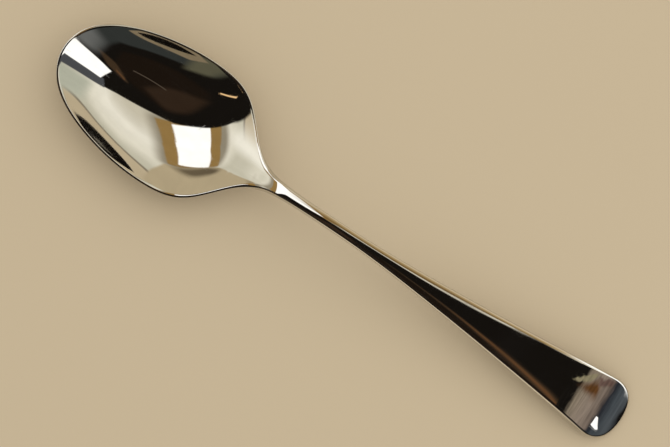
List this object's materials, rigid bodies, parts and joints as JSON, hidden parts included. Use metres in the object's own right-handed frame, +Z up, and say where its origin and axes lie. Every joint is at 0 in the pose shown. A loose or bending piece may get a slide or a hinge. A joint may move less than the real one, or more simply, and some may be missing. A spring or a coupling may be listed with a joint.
{
  "type": "tablespoon",
  "caption": "Polished steel tablespoon in one piece: egg-shaped bowl with a raised tip, slim stem with a low arch and a plain handle that widens to a rounded end turned down to the table.",
  "frame": {"origin": "middle of the spoon's box, on the table that the spoon lies on", "axes": "+X along the spoon to the end of the handle, +Z up out of the bowl, y = 0 the mirror plane"},
  "size_m": [0.1998, 0.0424, 0.018],
  "materials": {
    "polished_steel": null
  },
  "bodies": {
    "root": {"spoon": "polished_steel"}
  },
  "joints": []
}
